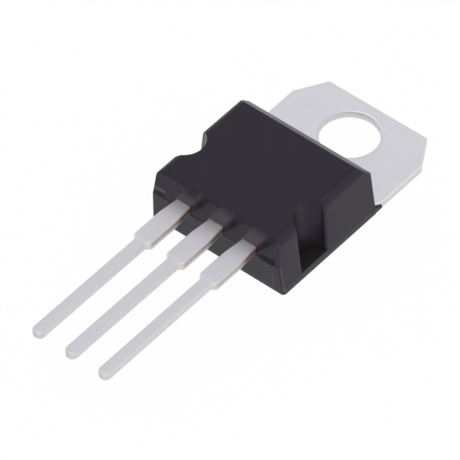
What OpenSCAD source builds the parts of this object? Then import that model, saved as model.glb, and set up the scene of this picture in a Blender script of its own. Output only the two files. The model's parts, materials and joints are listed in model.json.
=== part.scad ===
// Three-lead voltage regulator in a flat-tab power package.
// One sheet-metal frame carries the mounting tab and the centre lead; the two
// outer leads, the chip and its bond wires are held in the moulded case.
// Origin: centre of the mounting hole on the back of the tab.
// +X across the tab, +Y towards the end of the tab, +Z up from the back face.

/* [Sheet metal] */
// Thickness of the stamped sheet: tab and leads
sheet_t = 0.55; // [0.48:0.01:0.6]

/* [Mounting tab] */
// Distance of each side of the tab behind the side of the case, at its base
tab_inset = 0.03; // [0:0.01:0.1]
// Length of tab that stands out of the case
tab_exposed_l = 6.52; // [6.2:0.02:6.7]
// Diameter of the mounting hole
hole_d = 3.8; // [3.6:0.02:3.9]
// Centre of the mounting hole to the end of the tab
hole_to_end = 2.78; // [2.6:0.02:2.96]
// Width of each corner chamfer, across the tab
tab_chamfer_w = 1.23; // [0.6:0.01:1.4]
// Length of each corner chamfer, along the tab
tab_chamfer_l = 2.1; // [1:0.05:2.3]
// Length of the wedge of moulding along each side of the tab, beside the case
tab_wedge_l = 0.7; // [0.3:0.05:0.9]
// Width of that wedge where it meets the case
tab_wedge_w = 0.22; // [0.1:0.01:0.3]

/* [Chip pad and centre lead] */
// Width of the moulding at each side of the pad that the tab becomes inside the case
pad_side_wall = 1.4; // [1.2:0.1:1.8]
// Length of the full-width neck that is moulded in behind the rear wall
neck_l = 0.6; // [0.4:0.05:0.9]
// Length of the pad behind the rear wall, as far as the rising jog
pad_l = 6.5; // [6.3:0.05:6.7]
// Length that the jog takes to rise from the pad to the leads
jog_l = 1.5; // [1.3:0.05:1.6]

/* [Leads] */
// Distance between neighbouring leads
lead_pitch = 2.54; // [2.5:0.01:2.58]
// Height of the underside of the leads above the back face
lead_z = 2.53; // [2.4:0.01:2.72]
// Length of the leads outside the case
lead_l = 13.37; // [12.5:0.01:14]
// Width of a lead where it leaves the case
lead_root_w = 1.15; // [1:0.01:1.2]
// Length of the root outside the case
lead_root_l = 1.15; // [0.8:0.05:1.4]
// Width of the wide part, between the root and the shoulder
lead_wide_w = 1.38; // [1.25:0.01:1.5]
// Distance from the case to the shoulder
lead_shoulder_l = 3.64; // [3.3:0.02:4]
// Length of the slope at the root and at the shoulder
lead_slope_l = 0.28; // [0.1:0.02:0.5]
// Width of the narrow part
lead_w = 0.8; // [0.62:0.01:0.9]
// Radius of each rounded corner at the tip
lead_tip_r = 0.3; // [0.1:0.01:0.3]

/* [Bonding posts] */
// Thickness of the moulding between a post and the side notch, at the top of the case
post_wall = 0.35; // [0.2:0.05:0.5]
// Gap between a post and the centre lead
post_gap = 0.875; // [0.6:0.025:1]
// Length of the post
post_l = 1.2; // [1:0.05:1.3]
// Depth of the post's front edge behind the front of the case
post_depth = 0.95; // [0.8:0.05:1.1]

/* [Moulded case] */
// Width of the case at its base
case_w = 10.2; // [10:0.02:10.4]
// Height of the case
case_h = 4.5; // [4.4:0.01:4.6]
// Length of the case, from its rear wall at the base to its front
case_l = 9.09; // [8.9:0.01:9.3]
// Draft of the side walls, in degrees
side_draft = 4.9; // [2:0.1:6]
// Draft of the rear wall, in degrees
rear_draft = 3.1; // [1:0.1:4]
// Draft of the front wall above the leads, in degrees
front_draft = 5.4; // [3:0.1:7]
// Draft of the front wall below the leads, in degrees
lower_draft = 6.4; // [3:0.1:7]
// Set-back of the upper front wall at the parting line
parting_step = 0.04; // [0.02:0.01:0.08]
// Bevel along both top side edges
side_bevel = 0.36; // [0.1:0.02:0.5]
// Bevel along the top front edge
front_bevel = 0.1; // [0.05:0.01:0.2]
// Length of the chamfer along the top rear edge
rear_chamfer_l = 1.05; // [0.6:0.01:1.3]
// Height of the chamfer along the top rear edge
rear_chamfer_h = 1.06; // [0.6:0.01:1.3]

/* [Side notches] */
// Radius of each side notch at the top of the case
notch_r_top = 1.33; // [1:0.01:1.5]
// Radius of each side notch at its floor
notch_r_floor = 1.15; // [0.8:0.02:1.2]
// Distance from the notch's axis to the front of the case
notch_to_front = 3.24; // [2.9:0.02:3.4]

/* [Front dimples] */
// Radius of the round groove that makes the dimple near each end of the front wall
dimple_r = 1; // [0.9:0.01:1.1]
// Radius of the groove's own section, on the input side
input_dimple_section_r = 0.14; // [0.1:0.01:0.2]
// Deepest point of the input side's dimple behind the front wall
input_dimple_depth = 0.12; // [0.08:0.01:0.14]
// Distance from the input side's dimple to the side of the case
input_dimple_inset = 0.84; // [0.8:0.01:1]
// Height of the input side's dimple above the underside of the leads
input_dimple_rise = 0.19; // [0.15:0.01:0.25]
// Radius of the groove's own section, on the output side
output_dimple_section_r = 0.22; // [0.15:0.01:0.26]
// Deepest point of the output side's dimple behind the front wall
output_dimple_depth = 0.22; // [0.15:0.01:0.28]
// Distance from the output side's dimple to the side of the case
output_dimple_inset = 1.05; // [1:0.01:1.2]
// Height of the output side's dimple above the underside of the leads
output_dimple_rise = 0.08; // [0:0.01:0.15]

/* [Chip] */
// Width of the chip
die_w = 2.6; // [2:0.1:3]
// Length of the chip
die_l = 2.2; // [1.8:0.1:2.4]
// Thickness of the chip
die_t = 0.3; // [0.2:0.02:0.4]
// Thickness of the solder under the chip
solder_t = 0.06; // [0.04:0.01:0.1]
// Width of the solder fillet around the chip
solder_margin = 0.12; // [0.05:0.01:0.2]
// Distance from the rear wall of the case to the chip's centre
die_to_rear = 3.4; // [3:0.1:3.6]

/* [Bond wires] */
// Diameter of a bond wire
wire_d = 0.2; // [0.1:0.01:0.25]
// Diameter of the flattened foot at each end of a wire
foot_d = 0.36; // [0.3:0.01:0.4]
// Height of the flattened foot
foot_h = 0.07; // [0.04:0.01:0.1]
// Radius of a wire's bends, to its centreline
wire_bend_r = 0.25; // [0.2:0.01:0.3]
// Height of a wire's loop above its higher foot
wire_loop_h = 0.62; // [0.5:0.02:0.7]
// Distance from the chip's front edge to the wire feet on it
foot_edge = 0.4; // [0.3:0.05:0.5]
// Distance between the two output wires where they land on the post
twin_gap = 0.8; // [0.6:0.05:0.9]

/* [Hidden] */
$fn = 96;
// how far a cutting shape runs past the surface that it cuts
over = 1;
// heights
lead_top_z = lead_z + sheet_t;
die_z = sheet_t + solder_t;
die_top_z = die_z + die_t;
rear_chamfer_z = case_h - rear_chamfer_h;
side_bevel_z = case_h - side_bevel;
// places along Y, from the hole's centre
tab_end_y = hole_to_end;
rear_y = tab_end_y - tab_exposed_l;
front_y = rear_y - case_l;
pad_end_y = rear_y - pad_l;
jog_end_y = pad_end_y - jog_l;
wedge_y = rear_y + tab_wedge_l;
notch_y = front_y + notch_to_front;
die_y = rear_y - die_to_rear;
die_foot_y = die_y - die_l / 2 + foot_edge;
post_front_y = front_y + post_depth;
post_y = post_front_y + post_l / 2;
ground_foot_y = (die_y - die_l / 2 - solder_margin + pad_end_y) / 2;
// half widths
case_hw = case_w / 2;
tab_hw = case_hw - tab_inset;
neck_hw = tab_hw - tab_wedge_w;
pad_hw = case_hw - pad_side_wall;
bevel_hw = case_hw - side_bevel_z * tan(side_draft);
// the posts fill the width between the centre lead and the side notches
post_inner_x = lead_root_w / 2 + post_gap;
post_outer_x = case_hw - notch_r_top - post_wall;
post_x = (post_inner_x + post_outer_x) / 2;
// colours
plastic_colour = [0.13, 0.13, 0.14];
metal_colour = [0.78, 0.78, 0.8];
wire_colour = [0.86, 0.87, 0.89];

// Flat sheet of the frame, from its back up
module sheet(z = 0) {
    translate([0, 0, z]) linear_extrude(sheet_t) children();
}

// A profile drawn as [y, z], carried across the part along X
module across(width) {
    rotate([90, 0, 90]) translate([0, 0, -width / 2]) linear_extrude(width) children();
}

// Outline of the tab, the neck behind the rear wall and the pad
module tab_outline() {
    polygon([[-tab_hw, tab_end_y - tab_chamfer_l], [-tab_hw + tab_chamfer_w, tab_end_y],
             [tab_hw - tab_chamfer_w, tab_end_y], [tab_hw, tab_end_y - tab_chamfer_l],
             [tab_hw, wedge_y], [neck_hw, rear_y], [neck_hw, rear_y - neck_l], [pad_hw, rear_y - neck_l],
             [pad_hw, pad_end_y], [-pad_hw, pad_end_y], [-pad_hw, rear_y - neck_l],
             [-neck_hw, rear_y - neck_l], [-neck_hw, rear_y], [-tab_hw, wedge_y]]);
}

// Outline of one lead outside the case, with its root reaching into the case by inner_l
module lead_outline(inner_l) {
    root_hw = lead_root_w / 2;
    wide_hw = lead_wide_w / 2;
    narrow_hw = lead_w / 2;
    tip_y = front_y - lead_l;
    polygon([[-root_hw, front_y + inner_l], [-root_hw, front_y - lead_root_l],
             [-wide_hw, front_y - lead_root_l - lead_slope_l], [-wide_hw, front_y - lead_shoulder_l],
             [-narrow_hw, front_y - lead_shoulder_l - lead_slope_l], [-narrow_hw, tip_y + lead_tip_r],
             [narrow_hw, tip_y + lead_tip_r], [narrow_hw, front_y - lead_shoulder_l - lead_slope_l],
             [wide_hw, front_y - lead_shoulder_l], [wide_hw, front_y - lead_root_l - lead_slope_l],
             [root_hw, front_y - lead_root_l], [root_hw, front_y + inner_l]]);
    translate([-narrow_hw + lead_tip_r, tip_y]) square([lead_w - 2 * lead_tip_r, lead_tip_r]);
    for (side = [-1, 1]) translate([side * (narrow_hw - lead_tip_r), tip_y + lead_tip_r]) circle(lead_tip_r);
}

// The jog: the sheet's slope from the pad up to the level of the leads
module jog() {
    // the bends' offset keeps the sloping stretch as thick as the sheet
    bend = sheet_t * tan(atan(lead_z / jog_l) / 2);
    across(lead_root_w) polygon([[pad_end_y, 0], [pad_end_y + bend, sheet_t], [jog_end_y + bend, lead_top_z],
                                 [jog_end_y - bend, lead_top_z], [jog_end_y - bend, lead_z],
                                 [jog_end_y, lead_z]]);
}

// Outer lead with its bonding post; side is -1 for the input and 1 for the output
module outer_lead(side) {
    sheet(lead_z) {
        translate([side * lead_pitch, 0]) lead_outline(post_depth);
        translate([side > 0 ? post_inner_x : -post_outer_x, post_front_y])
            square([post_outer_x - post_inner_x, post_l]);
    }
}

// Bond wire that rises from one foot, runs level and comes down on the other
module bond_wire(start, finish, start_z, finish_z) {
    reach = norm(finish - start);
    loop_z = max(start_z, finish_z) + wire_loop_h;
    turn_z = loop_z - wire_bend_r;
    translate([start[0], start[1], 0]) rotate([0, 0, atan2(finish[1] - start[1], finish[0] - start[0])]) {
        translate([0, 0, start_z]) cylinder(d = foot_d, h = foot_h);
        translate([0, 0, start_z]) cylinder(d = wire_d, h = turn_z - start_z);
        translate([wire_bend_r, 0, turn_z]) rotate([90, 0, 0]) rotate([0, 0, 90]) wire_bend();
        translate([wire_bend_r, 0, loop_z]) rotate([0, 90, 0])
            cylinder(d = wire_d, h = reach - 2 * wire_bend_r);
        translate([reach - wire_bend_r, 0, turn_z]) rotate([90, 0, 0]) wire_bend();
        translate([reach, 0, finish_z]) cylinder(d = wire_d, h = turn_z - finish_z);
        translate([reach, 0, finish_z]) cylinder(d = foot_d, h = foot_h);
    }
}

// Quarter turn of a bond wire
module wire_bend() {
    rotate_extrude(angle = 90) translate([wire_bend_r, 0]) circle(d = wire_d);
}

// Outside of the case, before its notches and dimples
module case_block() {
    front_top_z = case_h - front_bevel;
    upper_front_y = front_y + parting_step;
    front_top_y = upper_front_y + (front_top_z - lead_z) * tan(front_draft);
    rear_top_y = rear_y - rear_chamfer_z * tan(rear_draft);
    intersection() {
        across(case_w + over) polygon([[front_y + lead_z * tan(lower_draft), 0], [front_y, lead_z],
                                       [upper_front_y, lead_z], [front_top_y, front_top_z],
                                       [front_top_y + front_bevel, case_h],
                                       [rear_top_y - rear_chamfer_l, case_h], [rear_top_y, rear_chamfer_z],
                                       [rear_y, 0]]);
        translate([0, rear_y + over, 0]) rotate([90, 0, 0]) linear_extrude(case_l + 2 * over)
            polygon([[-case_hw, 0], [case_hw, 0], [bevel_hw, side_bevel_z], [bevel_hw - side_bevel, case_h],
                     [-bevel_hw + side_bevel, case_h], [-bevel_hw, side_bevel_z]]);
    }
}

// Round notch down each side of the case, as far as the level of the sheet's top
module side_notch(side) {
    notch_h = case_h - sheet_t;
    // the cone runs on past the top at the same taper
    flare = (notch_r_top - notch_r_floor) / notch_h;
    translate([side * case_hw, notch_y, sheet_t])
        cylinder(r1 = notch_r_floor, r2 = notch_r_top + over * flare, h = notch_h + over);
}

// Dimple near an end of the front wall, where the upper and the lower front meet
module front_dimple(x, section_r, depth, rise) {
    translate([x, front_y + depth - dimple_r, lead_z + rise]) rotate_extrude()
        translate([dimple_r - section_r, 0]) circle(section_r);
}

// Wedge of moulding that fills the notch in each side of the tab, beside the case
module tab_wedges() {
    translate([-tab_hw, rear_y - neck_l / 2, 0]) cube([2 * tab_hw, tab_wedge_l + neck_l / 2, sheet_t]);
}

module case() {
    color(plastic_colour) difference() {
        union() {
            case_block();
            tab_wedges();
        }
        side_notch(-1);
        side_notch(1);
        front_dimple(input_dimple_inset - case_hw, input_dimple_section_r, input_dimple_depth,
                     input_dimple_rise);
        front_dimple(case_hw - output_dimple_inset, output_dimple_section_r, output_dimple_depth,
                     output_dimple_rise);
        tab_frame();
        input_lead();
        output_lead();
        silicon_die();
        die_solder();
        input_wire();
        output_wire();
        output_sense_wire();
        ground_wire();
    }
}

module tab_frame() {
    color(metal_colour) {
        difference() {
            sheet() tab_outline();
            translate([0, 0, -over]) cylinder(d = hole_d, h = sheet_t + 2 * over);
        }
        jog();
        sheet(lead_z) lead_outline(jog_end_y - front_y);
    }
}

module input_lead() {
    color(metal_colour) outer_lead(-1);
}

module output_lead() {
    color(metal_colour) outer_lead(1);
}

module silicon_die() {
    color([0.35, 0.37, 0.42]) translate([-die_w / 2, die_y - die_l / 2, die_z]) cube([die_w, die_l, die_t]);
}

module die_solder() {
    solder_w = die_w + 2 * solder_margin;
    solder_l = die_l + 2 * solder_margin;
    color([0.6, 0.6, 0.62]) translate([-solder_w / 2, die_y - solder_l / 2, sheet_t])
        cube([solder_w, solder_l, solder_t]);
}

// Distance from the middle of the chip to the feet of the outer wires
function outer_foot_x() = die_w / 2 - foot_d;

module input_wire() {
    color(wire_colour) bond_wire([-outer_foot_x(), die_foot_y], [-post_x, post_y], die_top_z, lead_top_z);
}

module output_wire() {
    color(wire_colour) bond_wire([outer_foot_x(), die_foot_y], [post_x + twin_gap / 2, post_y],
                                 die_top_z, lead_top_z);
}

module output_sense_wire() {
    color(wire_colour) bond_wire([outer_foot_x() / 2, die_foot_y], [post_x - twin_gap / 2, post_y],
                                 die_top_z, lead_top_z);
}

module ground_wire() {
    color(wire_colour) bond_wire([-outer_foot_x() / 2, die_foot_y], [-outer_foot_x() / 2, ground_foot_y],
                                 die_top_z, sheet_t);
}

case();
tab_frame();
input_lead();
output_lead();
silicon_die();
die_solder();
input_wire();
output_wire();
output_sense_wire();
ground_wire();
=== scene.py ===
"""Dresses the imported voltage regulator: a moulded case on a stamped copper frame with three leads.

The case, the tab with its centre lead and the two outer leads are rebuilt with drafted walls, rounded
edges and stamped edges. The chip, its solder and its bond wires keep their solids and get a finish.
Mesh code works in millimetres. A mesh turns into metres when its object joins the scene.
"""

import json
import logging
import math
from dataclasses import dataclass
from enum import Enum
from functools import reduce
from operator import mul
from typing import Any, Callable, ClassVar, Mapping, Sequence

import bmesh
import bpy
import numpy as np
from mathutils import Matrix, Vector
from mathutils.geometry import tessellate_polygon


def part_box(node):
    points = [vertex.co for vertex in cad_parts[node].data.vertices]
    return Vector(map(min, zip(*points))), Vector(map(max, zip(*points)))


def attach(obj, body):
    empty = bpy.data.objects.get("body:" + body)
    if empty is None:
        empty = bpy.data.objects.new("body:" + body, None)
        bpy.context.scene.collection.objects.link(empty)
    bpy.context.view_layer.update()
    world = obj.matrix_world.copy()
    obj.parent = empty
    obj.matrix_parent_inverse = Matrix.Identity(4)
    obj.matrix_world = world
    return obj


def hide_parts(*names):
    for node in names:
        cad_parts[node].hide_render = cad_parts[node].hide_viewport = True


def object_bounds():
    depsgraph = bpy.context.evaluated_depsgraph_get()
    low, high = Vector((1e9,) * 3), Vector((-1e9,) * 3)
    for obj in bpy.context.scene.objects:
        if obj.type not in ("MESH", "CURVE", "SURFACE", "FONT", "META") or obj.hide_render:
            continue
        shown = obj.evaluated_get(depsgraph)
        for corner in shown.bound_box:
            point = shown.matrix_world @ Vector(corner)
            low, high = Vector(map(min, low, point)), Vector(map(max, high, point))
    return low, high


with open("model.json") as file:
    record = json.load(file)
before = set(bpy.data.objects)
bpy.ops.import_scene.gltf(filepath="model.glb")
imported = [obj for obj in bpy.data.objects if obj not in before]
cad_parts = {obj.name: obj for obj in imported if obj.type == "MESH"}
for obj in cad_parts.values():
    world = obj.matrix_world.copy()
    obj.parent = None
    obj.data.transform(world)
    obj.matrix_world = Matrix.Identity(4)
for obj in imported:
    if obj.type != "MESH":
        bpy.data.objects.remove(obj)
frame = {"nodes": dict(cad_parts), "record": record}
CAD_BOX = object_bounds()

LOG = logging.getLogger("voltage_regulator")
MM = 0.001
WELD = 1e-5  # millimetres between points that count as one
HAIR = 1e-6  # millimetres that count as nothing
OVERSHOOT = 1.0  # millimetres by which a tool passes what it cuts


class Side(Enum):
    """The two sides of the part, by the sign of their X."""

    LEFT = -1
    RIGHT = 1


class Cut(Enum):
    """How one solid changes another."""

    JOIN = "UNION"
    REMOVE = "DIFFERENCE"


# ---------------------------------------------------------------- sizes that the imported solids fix


@dataclass(frozen=True)
class Places:
    """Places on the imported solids, in millimetres."""

    case_low: Vector  # lowest corner of the case
    case_high: Vector  # highest corner of the case, with the wedges beside the tab
    frame_low: Vector  # lowest corner of the tab frame
    frame_high: Vector  # highest corner of the tab frame
    post_x: tuple[float, float]  # nearest and furthest X of an outer lead's post
    post_rear_y: float  # rear edge of a post
    hole_r: float  # radius of the mounting hole
    sheet_t: float  # thickness of the sheet
    pitch: float  # distance between neighbouring leads
    lead_z: float  # height of the leads' underside

    @classmethod
    def read(cls) -> "Places":
        """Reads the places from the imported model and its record."""
        mounts = {mount["name"]: mount for mount in frame["record"]["mounts"]}
        case_low, case_high = (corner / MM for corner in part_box("case"))
        frame_low, frame_high = (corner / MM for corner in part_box("tab_frame"))
        lead_low, lead_high = (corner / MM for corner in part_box("output_lead"))
        return cls(
            case_low=case_low,
            case_high=case_high,
            frame_low=frame_low,
            frame_high=frame_high,
            post_x=(lead_low.x, lead_high.x),
            post_rear_y=lead_high.y,
            hole_r=mounts["mounting_hole"]["dims"]["r_mm"],
            sheet_t=mounts["mounting_hole"]["dims"]["length_mm"],
            pitch=mounts["lead_tips"]["dims"]["spacing_x_mm"],
            lead_z=lead_low.z,
        )


# ---------------------------------------------------------------- outlines


@dataclass(frozen=True)
class Corner:
    """A corner of an outline, and the radius that rounds it."""

    x: float
    y: float
    r: float = 0.0


def mirrored(corners: Sequence[Corner], x: float = 0.0) -> list[Corner]:
    """Mirrors corners across the line at x and reverses their order."""
    return [Corner(2 * x - corner.x, corner.y, corner.r) for corner in reversed(corners)]


def on_side(loop: np.ndarray, side: Side) -> np.ndarray:
    """Returns a loop of the right side as it lies on a side, with its material still on the left."""
    return loop if side is Side.RIGHT else loop[::-1] * (-1, 1)


def ray(angle: np.ndarray) -> np.ndarray:
    """Returns the unit vectors at some angles, one row each."""
    return np.stack((np.cos(angle), np.sin(angle)), axis=1)


def rounded(corners: Sequence[Corner], closed: bool = True, turn: float = 9.0) -> np.ndarray:
    """Rounds each corner of a path with an arc that touches both of its sides.

    Args:
        corners: The corners in order.
        closed: Whether the path returns to its start.
        turn: Largest turn between neighbouring segments of an arc, in degrees.

    Returns:
        The path's points, one row each.
    """
    spots = [np.array((corner.x, corner.y)) for corner in corners]
    last = len(corners) - 1
    path: list[np.ndarray] = []
    for index, corner in enumerate(corners):
        spot = spots[index]
        if corner.r <= 0 or (not closed and index in (0, last)):
            path.append(spot)
            continue
        back = spots[index - 1] - spot
        ahead = spots[(index + 1) % len(spots)] - spot
        back /= np.linalg.norm(back)
        ahead /= np.linalg.norm(ahead)
        inside = math.acos(float(np.clip(back @ ahead, -1, 1)))
        sweep = math.pi - inside
        middle = (back + ahead) / np.linalg.norm(back + ahead)
        centre = spot + middle * corner.r / math.sin(inside / 2)
        reach = corner.r / math.tan(inside / 2)
        start, end = spot + back * reach - centre, spot + ahead * reach - centre
        count = max(2, math.ceil(math.degrees(sweep) / turn))
        for step in range(count + 1):
            share = step / count
            weight_a = math.sin((1 - share) * sweep) / math.sin(sweep)
            weight_b = math.sin(share * sweep) / math.sin(sweep)
            path.append(centre + start * weight_a + end * weight_b)
    return np.array(path)


def inset(loop: np.ndarray, distance: float) -> np.ndarray:
    """Moves a closed loop towards its left, with mitred corners.

    Args:
        loop: Points in order, with the material on the left.
        distance: How far each side moves.

    Returns:
        The moved points.
    """
    ahead = np.roll(loop, -1, axis=0) - loop
    ahead /= np.linalg.norm(ahead, axis=1)[:, None]
    left = np.stack((-ahead[:, 1], ahead[:, 0]), axis=1)
    before = np.roll(left, 1, axis=0)
    mitre = (left + before) / (1 + (left * before).sum(axis=1))[:, None]
    return loop + distance * mitre


def circle(radius: float, count: int = 96) -> np.ndarray:
    """Returns a clockwise circle about the origin, so that the material lies outside it."""
    return radius * ray(-np.arange(count) * 2 * math.pi / count)


# ---------------------------------------------------------------- meshes


class Shell:
    """Points and faces of a closed mesh in millimetres."""

    def __init__(self) -> None:
        """Starts an empty shell."""
        self.points: list[Sequence[float]] = []
        self.faces: list[Sequence[int]] = []

    def ring(self, loop: np.ndarray, z: float) -> list[int]:
        """Adds a level ring of points and returns their numbers."""
        first = len(self.points)
        self.points.extend((x, y, z) for x, y in loop)
        return list(range(first, len(self.points)))

    def band(self, lower: Sequence[int], upper: Sequence[int]) -> None:
        """Joins two closed rings of equal length with quads."""
        count = len(lower)
        for index in range(count):
            following = (index + 1) % count
            self.faces.append((lower[index], lower[following], upper[following], upper[index]))

    def cap(self, rings: Sequence[Sequence[int]]) -> None:
        """Closes an outer ring, less any ring inside it, with triangles."""
        flat = [number for ring in rings for number in ring]
        loops = [[Vector(self.points[number]) for number in ring] for ring in rings]
        self.faces.extend(tuple(flat[corner] for corner in corners) for corners in tessellate_polygon(loops))

    def stack(self, *walls: tuple[np.ndarray, Sequence[tuple[float, float]]]) -> None:
        """Raises loops through levels and closes both ends.

        Args:
            walls: The outer loop and any holes, each with the material on its left, and each with the inset
                and the height of its levels, from the bottom up.
        """
        rings = [[self.ring(inset(loop, distance), z) for distance, z in levels] for loop, levels in walls]
        for levels_of_loop in rings:
            for lower, upper in zip(levels_of_loop, levels_of_loop[1:]):
                self.band(lower, upper)
        self.cap([ring[0] for ring in rings])
        self.cap([ring[-1] for ring in rings])

    def object(self, name: str) -> bpy.types.Object:
        """Makes an object of the shell, still in millimetres.

        Args:
            name: Name of the object.

        Returns:
            The new object, linked to the scene.
        """
        mesh = bpy.data.meshes.new(name)
        mesh.from_pydata([tuple(point) for point in self.points], [], [tuple(face) for face in self.faces])
        work = bmesh.new()
        work.from_mesh(mesh)
        bmesh.ops.remove_doubles(work, verts=work.verts, dist=WELD)
        bmesh.ops.dissolve_degenerate(work, edges=work.edges, dist=HAIR)
        bmesh.ops.recalc_face_normals(work, faces=work.faces)
        work.to_mesh(mesh)
        work.free()
        made = bpy.data.objects.new(name, mesh)
        bpy.context.scene.collection.objects.link(made)
        return made


def reshape(target: bpy.types.Object, tool: bpy.types.Object, cut: Cut) -> None:
    """Joins a tool solid to a target or removes it from it, and deletes the tool.

    Args:
        target: The object that changes.
        tool: The solid that changes it.
        cut: Whether the tool is joined or removed.
    """
    change = target.modifiers.new("reshape", "BOOLEAN")
    change.operation = cut.value
    change.solver = "EXACT"
    change.object = tool
    graph = bpy.context.evaluated_depsgraph_get()
    mesh = bpy.data.meshes.new_from_object(target.evaluated_get(graph))
    target.modifiers.remove(change)
    target.data = mesh
    bpy.data.objects.remove(tool)


@dataclass(frozen=True)
class StampedEdge:
    """Edge of a stamped sheet: rolled over on top, sheared straight, and torn back near the bottom."""

    roll: float = 0.08  # radius of the rolled top edge
    tear: float = 0.012  # how far the torn part lies behind the sheared part
    burr: float = 0.03  # radius of the bottom edge
    shear_share: float = 0.42  # share of the thickness, from the bottom, where the sheared part starts
    steps: int = 5  # segments in each rounded edge

    def levels(self, low: float, high: float) -> list[tuple[float, float]]:
        """Returns the inset and the height of each level of the edge.

        Args:
            low: Height of the sheet's underside.
            high: Height of the sheet's top.

        Returns:
            Pairs of inset and height, from the bottom up.
        """
        angles = [math.radians(90 * step / self.steps) for step in range(self.steps + 1)]
        shear_z = low + self.shear_share * (high - low)
        turns = [(1 - math.sin(angle), 1 - math.cos(angle)) for angle in angles]
        return [*((self.tear + self.burr * near, low + self.burr * far) for near, far in turns),
                (self.tear, shear_z - 2 * self.tear), (0, shear_z),
                *((self.roll * far, high - self.roll * near) for near, far in turns)]


# ---------------------------------------------------------------- shader graph


def operation(name: str, swapped: bool = False) -> Callable[["Value", "Number"], "Value"]:
    """Makes a method that adds a Math node for a value and another number.

    Args:
        name: The node's operation.
        swapped: Whether the other number comes first.

    Returns:
        The method.
    """
    def method(value: "Value", other: "Number") -> "Value":
        """Returns the result of the operation."""
        inputs = {0: other, 1: value} if swapped else {0: value, 1: other}
        return value.graph.node("ShaderNodeMath", {"operation": name}, inputs)[0]

    return method


class Value:
    """A node's output that works in arithmetic: each operation adds a Math node."""

    def __init__(self, graph: "Graph", socket: bpy.types.NodeSocket) -> None:
        """Keeps the socket and its graph."""
        self.graph = graph
        self.socket = socket

    __add__ = operation("ADD")
    __radd__ = operation("ADD", swapped=True)
    __sub__ = operation("SUBTRACT")
    __rsub__ = operation("SUBTRACT", swapped=True)
    __mul__ = operation("MULTIPLY")
    __rmul__ = operation("MULTIPLY", swapped=True)
    __truediv__ = operation("DIVIDE")
    most = operation("MAXIMUM")

    def __abs__(self) -> "Value":
        """Returns the value without its sign."""
        return self.graph.node("ShaderNodeMath", {"operation": "ABSOLUTE"}, {0: self})[0]

    def wrapped(self, half: float) -> "Value":
        """Returns the value brought to within half a period of 0."""
        return self.graph.node("ShaderNodeMath", {"operation": "WRAP"}, {0: self, 1: half, 2: -half})[0]

    def rise(self, start: float, end: float) -> "Value":
        """Returns a smooth step of this value.

        Args:
            start: Value at which the step leaves 0.
            end: Value at which the step reaches 1; below start for a falling step.

        Returns:
            The step, from 0 to 1.
        """
        settings = {"interpolation_type": "SMOOTHSTEP"}
        return self.graph.node("ShaderNodeMapRange", settings, {"Value": self, 1: start, 2: end})[0]

    def within(self, low: float, high: float, soft: float) -> "Value":
        """Returns 1 between two limits and 0 outside them.

        Args:
            low: Lower limit.
            high: Upper limit.
            soft: Width of the soft change at each limit.

        Returns:
            The band, from 0 to 1.
        """
        return self.rise(low - soft / 2, low + soft / 2) * self.rise(high + soft / 2, high - soft / 2)


Number = Value | float
Colour = tuple[float, float, float]
Step = tuple[float, float]  # start and end of a rise
Band = tuple[float, float, float]  # lower limit, upper limit and softness
Limit = Step | Band


class Outputs:
    """The outputs of one node, by name or number."""

    def __init__(self, graph: "Graph", made: bpy.types.Node) -> None:
        """Keeps the node and its graph."""
        self.graph = graph
        self.made = made

    def __getitem__(self, key: int | str) -> Value:
        """Returns one output as a value."""
        return Value(self.graph, self.made.outputs[key])


@dataclass(frozen=True)
class Spot:
    """A spot on the surface: its place in millimetres and its direction, by axis."""

    place: Value
    x: Value
    y: Value
    z: Value
    aside: Value  # distance from the middle plane
    facing_x: Value
    facing_y: Value
    facing_z: Value
    facing_aside: Value  # facing_x without its sign
    level: Value  # facing_z without its sign


class Patch:
    """A part of the surface with soft limits on the fields of a spot, and how far a mark covers it."""

    def __init__(self, cover: float = 1.0, **limits: Limit) -> None:
        """Keeps the cover, and the limits by the name of the field that each one bounds."""
        self.cover = cover
        self.limits = limits

    def mask(self, at: Spot, **origins: float) -> Value:
        """Returns the cover on the patch and 0 off it.

        Args:
            at: The spot.
            origins: Values from which the limits of fields are counted, by the field's name.

        Returns:
            The product of the cover and the limits' bands and steps.
        """
        masks: list[Number] = [] if self.cover == 1 else [self.cover]
        for name, (start, end, *soft) in self.limits.items():
            origin = origins.get(name, 0.0)
            field: Value = getattr(at, name)
            shape = field.within if soft else field.rise
            masks.append(shape(start + origin, end + origin, *soft))
        return reduce(mul, masks)


@dataclass(frozen=True)
class Coat:
    """A colour that is laid over others."""

    colour: Colour
    cover: float = 1.0  # how far it hides what lies below it


@dataclass(frozen=True)
class Noise:
    """A noise from 0 to 1 around 0.5."""

    scale: float  # features for each millimetre
    detail: float = 3.0  # octaves of finer noise
    roughness: float = 0.55  # strength of the finer octaves
    squeeze: Colour | None = None  # scale of the place along each axis, before the noise is read

    def read(self, place: Value) -> Value:
        """Returns the noise at a place."""
        if self.squeeze:
            settings = {"operation": "MULTIPLY"}
            place = place.graph.node("ShaderNodeVectorMath", settings, {0: place, 1: self.squeeze})[0]
        inputs = {"Vector": place, "Scale": self.scale, "Detail": self.detail, "Roughness": self.roughness}
        return place.graph.node("ShaderNodeTexNoise", None, inputs)[0]


@dataclass(frozen=True)
class Specks:
    """Small round specks, one to a cell."""

    scale: float  # cells for each millimetre
    share: float  # radius of a speck as a share of its cell
    core: ClassVar[float] = 0.4  # share of that radius at which the speck is full

    def read(self, place: Value) -> Value:
        """Returns 1 in the middle of a speck and 0 outside it."""
        inputs = {"Vector": place, "Scale": self.scale}
        far = place.graph.node("ShaderNodeTexVoronoi", None, inputs)["Distance"]
        return far.rise(self.share, self.share * self.core)


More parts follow.
